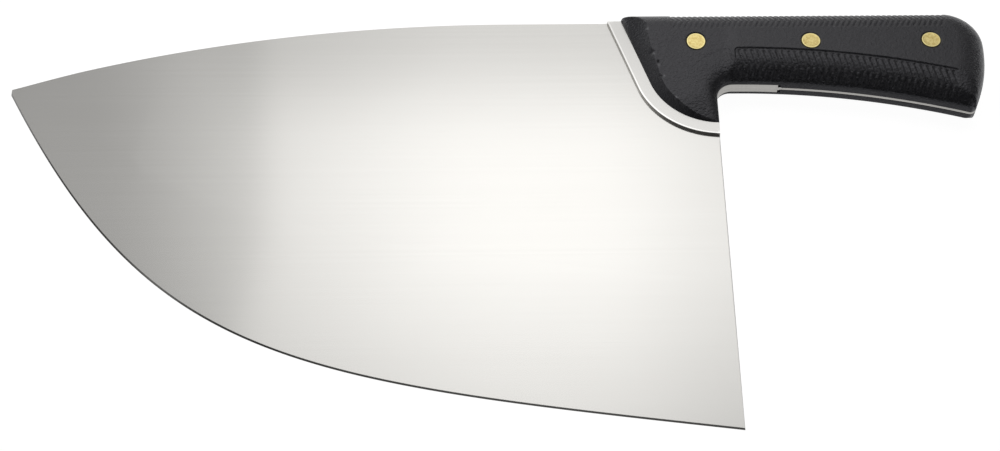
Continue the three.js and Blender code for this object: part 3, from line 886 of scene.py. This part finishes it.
scale = Shell()
skin_points = crown_rows + lip_rows + arris_rows + groove_rows + grid_rows
skin_points = [p for p in skin_points if from_seat(p) > SEAT_CLEAR]
for place in RIVET_PLACES:
    skin_points += [p for step in SEAT_RINGS for p in circle(place, SEAT_RADIUS + step, SEAT_STEPS)]
seat_circles = [circle(place, SEAT_RADIUS, SEAT_STEPS) for place in RIVET_PLACES]
bore_circles = [circle(place, RIVET_BORE, SEAT_STEPS) for place in RIVET_PLACES]
top_ring, *mouth_rings = scale.skin(
    on_skin(scale_outline),
    on_skin(skin_points),
    [on_skin(ring) for ring in seat_circles],
)
skin_end = len(scale.points)

low_split = nearest_on(scale_outline, pocket_low)
top_split = nearest_on(scale_outline, pocket_top)
pocket_order = [*range(top_split, len(scale_outline)), *range(low_split + 1)]
rear_order = list(range(low_split, top_split + 1))
pocket_ring, front_foot = scale.skin(
    raised([scale_outline[i] for i in pocket_order], BOLSTER_FACE),
    holes=[raised(bore_circles[0], BOLSTER_FACE)],
    down=True,
)
rear_ring, *rear_feet = scale.skin(
    raised([scale_outline[i] for i in rear_order], HALF_PLATE),
    holes=[raised(ring, HALF_PLATE) for ring in bore_circles[1:]],
    down=True,
)
for order, ring in ((pocket_order, pocket_ring), (rear_order, rear_ring)):
    for k, (a, b) in enumerate(zip(order, order[1:])):
        face = [top_ring[a], ring[k], ring[k + 1], top_ring[b]]
        if a == low_split:
            face.insert(1, pocket_ring[-1])
        if b == top_split:
            face.insert(-1, pocket_ring[0])
        scale.faces.append(tuple(face))
scale.faces.append((pocket_ring[-1], pocket_ring[0], rear_ring[-1], rear_ring[0]))
for k, foot in enumerate([front_foot, *rear_feet]):
    seat_height = side_height(RIVET_PLACES[k]) - SEAT_DEPTH
    seat_wall = scale.add(raised(seat_circles[k], seat_height))
    seat_bore = scale.add(raised(bore_circles[k], seat_height))
    scale.wall(seat_wall, mouth_rings[k])
    scale.wall(seat_bore, seat_wall)
    scale.wall(foot, seat_bore)

KNURL_START = -18.6
KNURL_END = 101.0
KNURL_FADE = 0.4  # share of its depth that the knurl loses away from the top edge
RIB_FADE = 0.4  # and the ribs lose towards the lip
CROWN_ACROSS = 1.0  # where the crown's rows of ribs start, and how far one radian of it takes them
CROWN_REACH = 8.5
PANEL_ACROSS = 9.2  # the same for the panel's rows, with its depth
PANEL_REACH = 1.15
RIDGE_POWER = 0.6  # under 1 the ridges are broader than the furrows
ARRIS_HIGHLIGHT_WIDTH = 0.4  # the front arris carries a painted highlight and wear within this height of it
RIM_WIDTH = 0.4  # and the rims are ground this wide
CHIP_HIGHLIGHT_SPOTS = ((-28.6, 189.0), (-26.5, 176.6), (-24.4, 170.9), (-22.5, 165.6), (-17.7, 155.2))  # pale spots beside the chips: worn plastic with a painted highlight
CHIP_HIGHLIGHT_RADIUS = 0.55


def knurl_share(p):
    """How deep the crown is knurled at a plan point."""
    depth = from_crown(p)[0]
    ends = ease(p.x, KNURL_START, KNURL_START + 0.9) * (1.0 - ease(p.x, KNURL_END - 2.0, KNURL_END))
    within = 1.0 - ease(depth, CROWN_WIDTH, CROWN_WIDTH + 1.4)
    return ends * within * (1.0 - KNURL_FADE * ease(depth, 1.0, 6.0))


def rib_share(p):
    """How deep the panel is ribbed at a plan point."""
    low = from_underside(p)
    within = ease(-panel_border(p), 0.5, 1.4) * ease(low, 0.8, 2.0)
    ends = 1.0 - ease(p.x, PANEL_END - 3.0, PANEL_END)
    return within * ends * (1.0 - RIB_FADE + RIB_FADE * ease(low, 3.0, 11.0))


def surface_values():
    """For each point of the scale: its place along and across the ribs, its share in each finish, and the
    painted highlights along the arris and at the chips.
    """
    rows = {key: [] for key in ("along", "across", "knurl", "ribs", "arris_highlight_and_wear", "pale", "ground")}
    for number, (x, y, _) in enumerate(scale.points):
        p = Vector((x, y))
        depth, width = from_crown(p)
        low = from_underside(p)
        shown = 1.0 if number < skin_end else 0.0
        knurl = shown * knurl_share(p) if y > corner_centre.y else 0.0
        over = CROWN_ACROSS + math.radians(crown_turn(p)) * CROWN_REACH + max(depth - width, 0.0)
        nearest = min((p - Vector(spot)).length for spot in CHIP_HIGHLIGHT_SPOTS)
        rows["along"].append(x)
        rows["across"].append(over if knurl > 0.0 else PANEL_ACROSS + low * PANEL_REACH)
        rows["knurl"].append(knurl)
        rows["ribs"].append(shown * rib_share(p) if knurl == 0.0 else 0.0)
        rows["arris_highlight_and_wear"].append(shown * bell(front_face(p) - behind_front(p), ARRIS_HIGHLIGHT_WIDTH))
        rows["pale"].append(shown * bell(nearest, CHIP_HIGHLIGHT_RADIUS))
        rows["ground"].append(1.0 - ease(min(low, depth), 0.0, RIM_WIDTH))
    return rows


def started_tree(name, objects=(), sizes=()):
    """A Geometry Nodes tree with named inputs, as the wires that come from them."""
    tree = bpy.data.node_groups.new(name, "GeometryNodeTree")
    tree.interface.new_socket("Geometry", in_out="INPUT", socket_type="NodeSocketGeometry")
    for label in objects:
        tree.interface.new_socket(label, in_out="INPUT", socket_type="NodeSocketObject")
    for label, value in sizes:
        socket = tree.interface.new_socket(label, in_out="INPUT", socket_type="NodeSocketFloat")
        socket.default_value = value
    tree.interface.new_socket("Geometry", in_out="OUTPUT", socket_type="NodeSocketGeometry")
    return {socket.name: Wire(tree, socket) for socket in tree.nodes.new("NodeGroupInput").outputs}


def ended_tree(geometry, material):
    """Makes the instances real, gives them their material and hands them out of the tree."""
    real = geometry.add("GeometryNodeRealizeInstances", inputs={"Geometry": geometry})
    dressed = geometry.add("GeometryNodeSetMaterial", inputs={"Geometry": real, "Material": material})
    geometry.feed(geometry.tree.nodes.new("NodeGroupOutput").inputs[0], dressed)
    return geometry.tree


def stored(wire, name):
    return wire.add("GeometryNodeInputNamedAttribute", {"data_type": "FLOAT"}, {"Name": name})


def rib_tree(material):
    """A tree that moulds the herringbone into a scale's surface: ridges that lean to and fro in rows."""
    given = started_tree("herringbone_mould", sizes=(
        ("Knurl Pitch", 2.34), ("Knurl Row", 5.8), ("Knurl Depth", 0.42), ("Knurl Lean", 1.3),
        ("Knurl Sink", 0.2), ("Rib Pitch", 2.645), ("Rib Row", 8.0), ("Rib Depth", 0.5), ("Rib Lean", 0.8),
        ("Rib Sink", 0.0),
    ))
    plain = given["Geometry"]
    along, across = stored(plain, "along"), stored(plain, "across")
    depth = 0.0
    for kind, mask in (("Knurl", stored(plain, "knurl")), ("Rib", stored(plain, "ribs"))):
        lean = across.math("PINGPONG", across, given[kind + " Row"]) / given[kind + " Row"]
        phase = along / given[kind + " Pitch"] + lean * given[kind + " Lean"]
        ridge = 0.5 + 0.5 * phase.math("COSINE", phase * math.tau)
        sunk = given[kind + " Depth"] * (ridge ** RIDGE_POWER - 1.0) - given[kind + " Sink"]
        depth = depth + mask * sunk
    normal = plain.add("GeometryNodeInputNormal")
    shift = plain.add("ShaderNodeVectorMath", {"operation": "SCALE"}, {0: normal, "Scale": depth * MM})
    moved = plain.add("GeometryNodeSetPosition", inputs={"Geometry": plain, "Offset": shift})
    return ended_tree(moved, material)


black_plastic = Finish("black_grip_plastic", Specular_IOR_Level=0.7, Specular_Tint=(0.92, 0.92, 1.0, 1.0))
pores = black_plastic.noise((1500.0, 1500.0, 1500.0), 2.0, 0.6).ramp(0.3, 0.7)
mottle = black_plastic.noise((800.0, 800.0, 800.0), 2.0).ramp(0.3, 0.7)
flow = black_plastic.noise((90.0, 160.0, 120.0), 3.0)
scuffs = black_plastic.noise((40.0, 260.0, 200.0), 4.0).ramp(0.58, 0.75)
patches = black_plastic.noise((300.0, 300.0, 300.0)).ramp(0.42, 0.6)
# Painted highlight along the front arris, a paler base colour where the edge catches light, broken into
# patches that also read as worn plastic.
painted_arris_highlight_and_wear = black_plastic.attribute("arris_highlight_and_wear") * patches
tone_with_painted_highlight = flow * 0.015 + scuffs * 0.008 + pores * 0.015 + mottle * 0.05 + painted_arris_highlight_and_wear * 0.17
# Pale spots beside the chips: painted highlights where the chips catch light, partly worn plastic.
tone_with_chip_highlights = tone_with_painted_highlight + black_plastic.attribute("pale") * 0.8
ground_rim = black_plastic.attribute("ground")
black_plastic.feed("Base Color", tone_with_chip_highlights.tint((0.002, 0.002, 0.003), (0.178, 0.178, 0.191)))
black_plastic.feed("Roughness", 0.265 + pores * 0.08 + scuffs * 0.02 + ground_rim * 0.45)
black_plastic.relief(pores * 0.45 + mottle * 0.55, 0.00015)


def made_by_tree(name, mesh, tree, **given):
    """The mesh that a tree makes of another, as plain faces."""
    work = placed(name, mesh)
    modifier = work.modifiers.new(name, "NODES")
    modifier.node_group = tree
    for socket in tree.interface.items_tree:
        if socket.in_out == "INPUT" and socket.name in given:
            modifier[socket.identifier] = given[socket.name]
    evaluated = work.evaluated_get(bpy.context.evaluated_depsgraph_get())
    made = bpy.data.meshes.new_from_object(evaluated)
    bpy.data.objects.remove(work)
    made.name = name
    return made


values = surface_values()
herringbone = rib_tree(black_plastic.material)
for name, half, node in (
    ("grip_scale_left", scale, "scale_left"),
    ("grip_scale_right", scale.mirrored(), "scale_right"),
):
    plain = half.mesh(name + "_plain", 180.0)
    for key, row in values.items():
        store(plain, key, row)
    moulded = smoothed(made_by_tree(name, plain, herringbone), 42.0)
    put_on_knife(name, moulded, "grip_plastic", node)


# Rivets. Three two-piece brass cutler's rivets hold the grip: a headed pin from the left is driven into a
# headed socket from the right, and both heads are ground flush with the scales and left with a bright rim.

HEAD_RADIUS = 4.0
HEAD_THICK = 2.0
HEAD_RIM = 0.45
PIN_RADIUS = 1.5
SOCKET_RADIUS = 2.5
SOCKET_BORE = 1.65
PIN_SHORT = 1.5  # the pin ends this far short of the socket's head
SOCKET_SHORT = 0.4  # and the socket this far short of the pin's
SOCKET_FLOOR = 1.0
TURNED_STEPS = 64


def turned(name, profile):
    """A piece turned on the Z axis from a profile of radius and height, which starts and ends on the axis."""
    work = bmesh.new()
    rows = []
    for radius, height in profile:
        if radius == 0.0:
            rows.append([work.verts.new((0.0, 0.0, height * MM))] * TURNED_STEPS)
        else:
            ring = circle(Vector((0.0, 0.0)), radius * MM, TURNED_STEPS)
            rows.append([work.verts.new((*p, height * MM)) for p in ring])
    for low, high in zip(rows, rows[1:]):
        for i in range(TURNED_STEPS):
            corners = dict.fromkeys((low[i - 1], low[i], high[i], high[i - 1]))
            work.faces.new(list(corners))
    mesh = outward(name, work)
    rim = [1.0 if v.co.xy.length > (HEAD_RADIUS - HEAD_RIM - 0.01) * MM else 0.0 for v in mesh.vertices]
    store(mesh, "rim", rim)
    return mesh


def head_profile():
    """From the head's underside up its side, over the rim and in across the ground face to its middle."""
    return [
        (HEAD_RADIUS, -HEAD_THICK), (HEAD_RADIUS, -0.16), (HEAD_RADIUS - 0.05, -0.06),
        (HEAD_RADIUS - 0.14, -0.01), (HEAD_RADIUS - HEAD_RIM, 0.0), (HEAD_RADIUS - HEAD_RIM - 0.12, -0.03),
        (2.5, -0.03), (1.0, -0.03), (0.0, -0.03),
    ]


def rivet_tree(material):
    """A tree that sets one turned piece on each point, turned about X by the point's own angle."""
    given = started_tree("rivet_row", objects=("Rivet",), sizes=(("Rivet Size", 1.0),))
    points = given["Geometry"]
    rivet = points.add("GeometryNodeObjectInfo", inputs={"Object": given["Rivet"]}, output="Geometry")
    angles = points.add("ShaderNodeCombineXYZ", inputs={"X": stored(points, "turn")})
    row = points.add("GeometryNodeInstanceOnPoints", inputs={
        "Points": points, "Instance": rivet, "Rotation": angles, "Scale": given["Rivet Size"],
    })
    return ended_tree(row, material)


ground_brass = Finish("ground_rivet_brass", Metallic=1.0)
grinding = ground_brass.noise((700.0, 2600.0, 900.0), 2.0)
tarnish = ground_brass.noise((900.0, 900.0, 900.0), 2.0, 0.7).ramp(0.3, 0.7)
bright_rim = ground_brass.attribute("rim")
polish = (grinding * 0.4 + tarnish * 0.6) * (1.0 - bright_rim) + bright_rim * 0.95
ground_brass.feed("Base Color", polish.tint((0.56, 0.41, 0.13), (0.96, 0.84, 0.40)))
ground_brass.feed("Roughness", 0.24 + grinding * 0.1 + tarnish * 0.08)
ground_brass.relief(grinding, 0.000015)

rivets = rivet_tree(ground_brass.material)
faces = [side_height(place) for place in RIVET_PLACES]
lobe_lean = math.atan(LOBE_SLOPE)
between_heads = 2.0 * min(faces) - 2.0 * HEAD_THICK
pin_end = PIN_SHORT - between_heads - HEAD_THICK
socket_end = SOCKET_SHORT - between_heads - HEAD_THICK
socket_floor = -HEAD_THICK - SOCKET_FLOOR
pin_profile = [(0.0, pin_end), (PIN_RADIUS, pin_end), (PIN_RADIUS, -HEAD_THICK)]
socket_profile = [
    (0.0, socket_floor), (SOCKET_BORE, socket_floor), (SOCKET_BORE, socket_end),
    (SOCKET_RADIUS, socket_end), (SOCKET_RADIUS, -HEAD_THICK),
]
pin_nodes = ("rivet_front_pin", "rivet_middle_pin", "rivet_rear_pin")
socket_nodes = ("rivet_front_socket", "rivet_middle_socket", "rivet_rear_socket")
for name, profile, side, nodes in (
    ("rivet_pins", pin_profile, 1.0, pin_nodes),
    ("rivet_sockets", socket_profile, -1.0, socket_nodes),
):
    pattern = bpy.data.objects.new(name + "_pattern", turned(name + "_pattern", profile + head_profile()))
    seats = bpy.data.meshes.new(name + "_seats")
    spots = [Vector((*place, side * height)) for place, height in zip(RIVET_PLACES, faces)]
    seats.from_pydata([(spot + HEEL_CORNER) * MM for spot in spots], [], [])
    lean = [lobe_lean, 0.0, 0.0]
    turns = lean if side > 0.0 else [math.pi - angle for angle in lean]
    store(seats, "turn", turns)
    heads = smoothed(made_by_tree(name, seats, rivets, Rivet=pattern), 35.0)
    bpy.data.objects.remove(pattern)
    put_on_knife(name, heads, "rivet_brass", *nodes)


# Stage. A pale floor under the knife, a large soft light card up behind it that the steel mirrors, a soft
# world with a glow at the front right that lights the blade seen from behind, and a camera that looks down on
# the left face from in front of the cutting edge.

AIM = Vector((-0.00063, -0.0052, 0.011))
LOOK_TILT = math.radians(34.0)
LOOK_TURN = math.radians(-0.5)
CAMERA_AWAY = 0.814
FLOOR_HALF = 4.0
FLOOR_HEIGHT = -0.0003
FLOOR_GREY = 0.22
FLOOR_WHITE = 0.96  # what the camera sees of it
CARD_AWAY = 0.32
CARD_HALF = (0.44, 0.40)
CARD_STRENGTH = 1.36
GLOW_WAY = (0.68, -0.68, 0.26)
SQUARE = [(-1, -1), (1, -1), (1, 1), (-1, 1)]

camera_data = bpy.data.cameras.new("studio_camera")
camera_data.lens = 72.0
camera_data.sensor_width = 36.0
camera_data.clip_start = 0.01
studio_camera = placed("studio_camera", camera_data)
studio_camera.rotation_euler = (LOOK_TILT, 0.0, LOOK_TURN)
look = studio_camera.rotation_euler.to_matrix() @ Vector((0.0, 0.0, -1.0))
studio_camera.location = AIM - look * CAMERA_AWAY
bpy.context.scene.camera = studio_camera


def emitting(name):
    material = bpy.data.materials.new(name)
    material.use_nodes = True
    material.node_tree.nodes.clear()
    return material, Wire(material.node_tree)


def show(wire, shader):
    wire.feed(wire.tree.nodes.new("ShaderNodeOutputMaterial").inputs["Surface"], shader)


def flat_stage(name, corners, material, plan):
    mesh = bpy.data.meshes.new(name)
    mesh.from_pydata(corners, [], [(0, 1, 2, 3)])
    layer = mesh.uv_layers.new(name="plan")
    for loop, spot in zip(layer.data, plan):
        loop.uv = spot
    mesh.materials.append(material)
    stage = placed(name, mesh)
    return stage


floor_paint, wire = emitting("pale_floor")
seen = wire.add("ShaderNodeLightPath", output="Is Camera Ray")
for ray in ("Is Glossy Ray", "Is Transmission Ray"):
    seen = seen.math("MAXIMUM", seen, wire.add("ShaderNodeLightPath", output=ray))
matt = wire.add("ShaderNodeBsdfDiffuse", inputs={"Color": (FLOOR_GREY, FLOOR_GREY, FLOOR_GREY, 1.0)})
glow = wire.add("ShaderNodeEmission", inputs={"Color": (1.0, 1.0, 1.0, 1.0), "Strength": seen * FLOOR_WHITE})
show(wire, wire.add("ShaderNodeAddShader", inputs={0: matt, 1: glow}))
floor_corners = [(x * FLOOR_HALF, y * FLOOR_HALF, FLOOR_HEIGHT) for x, y in SQUARE]
flat_stage("floor", floor_corners, floor_paint, SQUARE)

card_light, wire = emitting("light_card")
plan = wire.add("ShaderNodeUVMap", {"uv_map": "plan"})
sideways, downwards = plan.part("X"), plan.part("Y")
leaning = sideways - 0.29 * downwards.math("MINIMUM", downwards, 0.0)
left_part = sideways.ramp(-0.24, -0.12, 0.34, 0.60)
step = leaning.ramp(-0.138, -0.128, 0.0, 0.18)
centre = sideways.ramp(-0.15, 0.0, 0.0, 0.21)
right_fall = sideways.ramp(0.05, 0.15, 0.0, -0.2)
spine_fall = downwards.ramp(0.042, 0.108, 0.0, 1.0) * sideways.ramp(-0.19, -0.115, 0.1, 0.345)
low_fall = downwards.ramp(-0.16, 0.0, 0.72, 1.0)
sides = sideways.ramp(-0.35, -0.29, 0.1, 1.0) * sideways.ramp(0.22, 0.33, 1.0, 0.35)
borders = sides * downwards.ramp(-0.19, -0.135, 0.08, 1.0)
shine = (left_part + step + centre + right_fall) * (1.0 - spine_fall) * low_fall * borders * CARD_STRENGTH
show(wire, wire.add("ShaderNodeEmission", inputs={"Color": (1.0, 0.99, 0.97, 1.0), "Strength": shine}))
mirrored_look = Vector((look.x, look.y, -look.z))
card_centre = AIM + mirrored_look * CARD_AWAY
card_side = Vector((1.0, 0.0, 0.0))
card_down = mirrored_look.cross(card_side).normalized()
card_plan = [(a * CARD_HALF[0], b * CARD_HALF[1]) for a, b in SQUARE]
card_corners = [card_centre + card_side * a + card_down * b for a, b in card_plan]
card = flat_stage("light_card", card_corners, card_light, card_plan)
card.visible_camera = False

world = bpy.data.worlds.new("studio")
bpy.context.scene.world = world
world.use_nodes = True
wire = Wire(world.node_tree)
way = wire.add("ShaderNodeTexCoord", output="Generated")
opposite = wire.add("ShaderNodeVectorMath", {"operation": "DOT_PRODUCT"}, {0: way, 1: GLOW_WAY}, "Value")
daylight = way.part("Y").ramp(-0.1, 0.7, 0.06, 0.32) + way.part("X").ramp(-0.95, -0.5, 0.3, 0.0)
background = world.node_tree.nodes["Background"]
background.inputs["Color"].default_value = (1.0, 1.0, 1.0, 1.0)
wire.feed(background.inputs["Strength"], daylight + opposite.ramp(0.89, 0.985, 0.0, 0.45))
bpy.context.scene.view_settings.view_transform = "Standard"
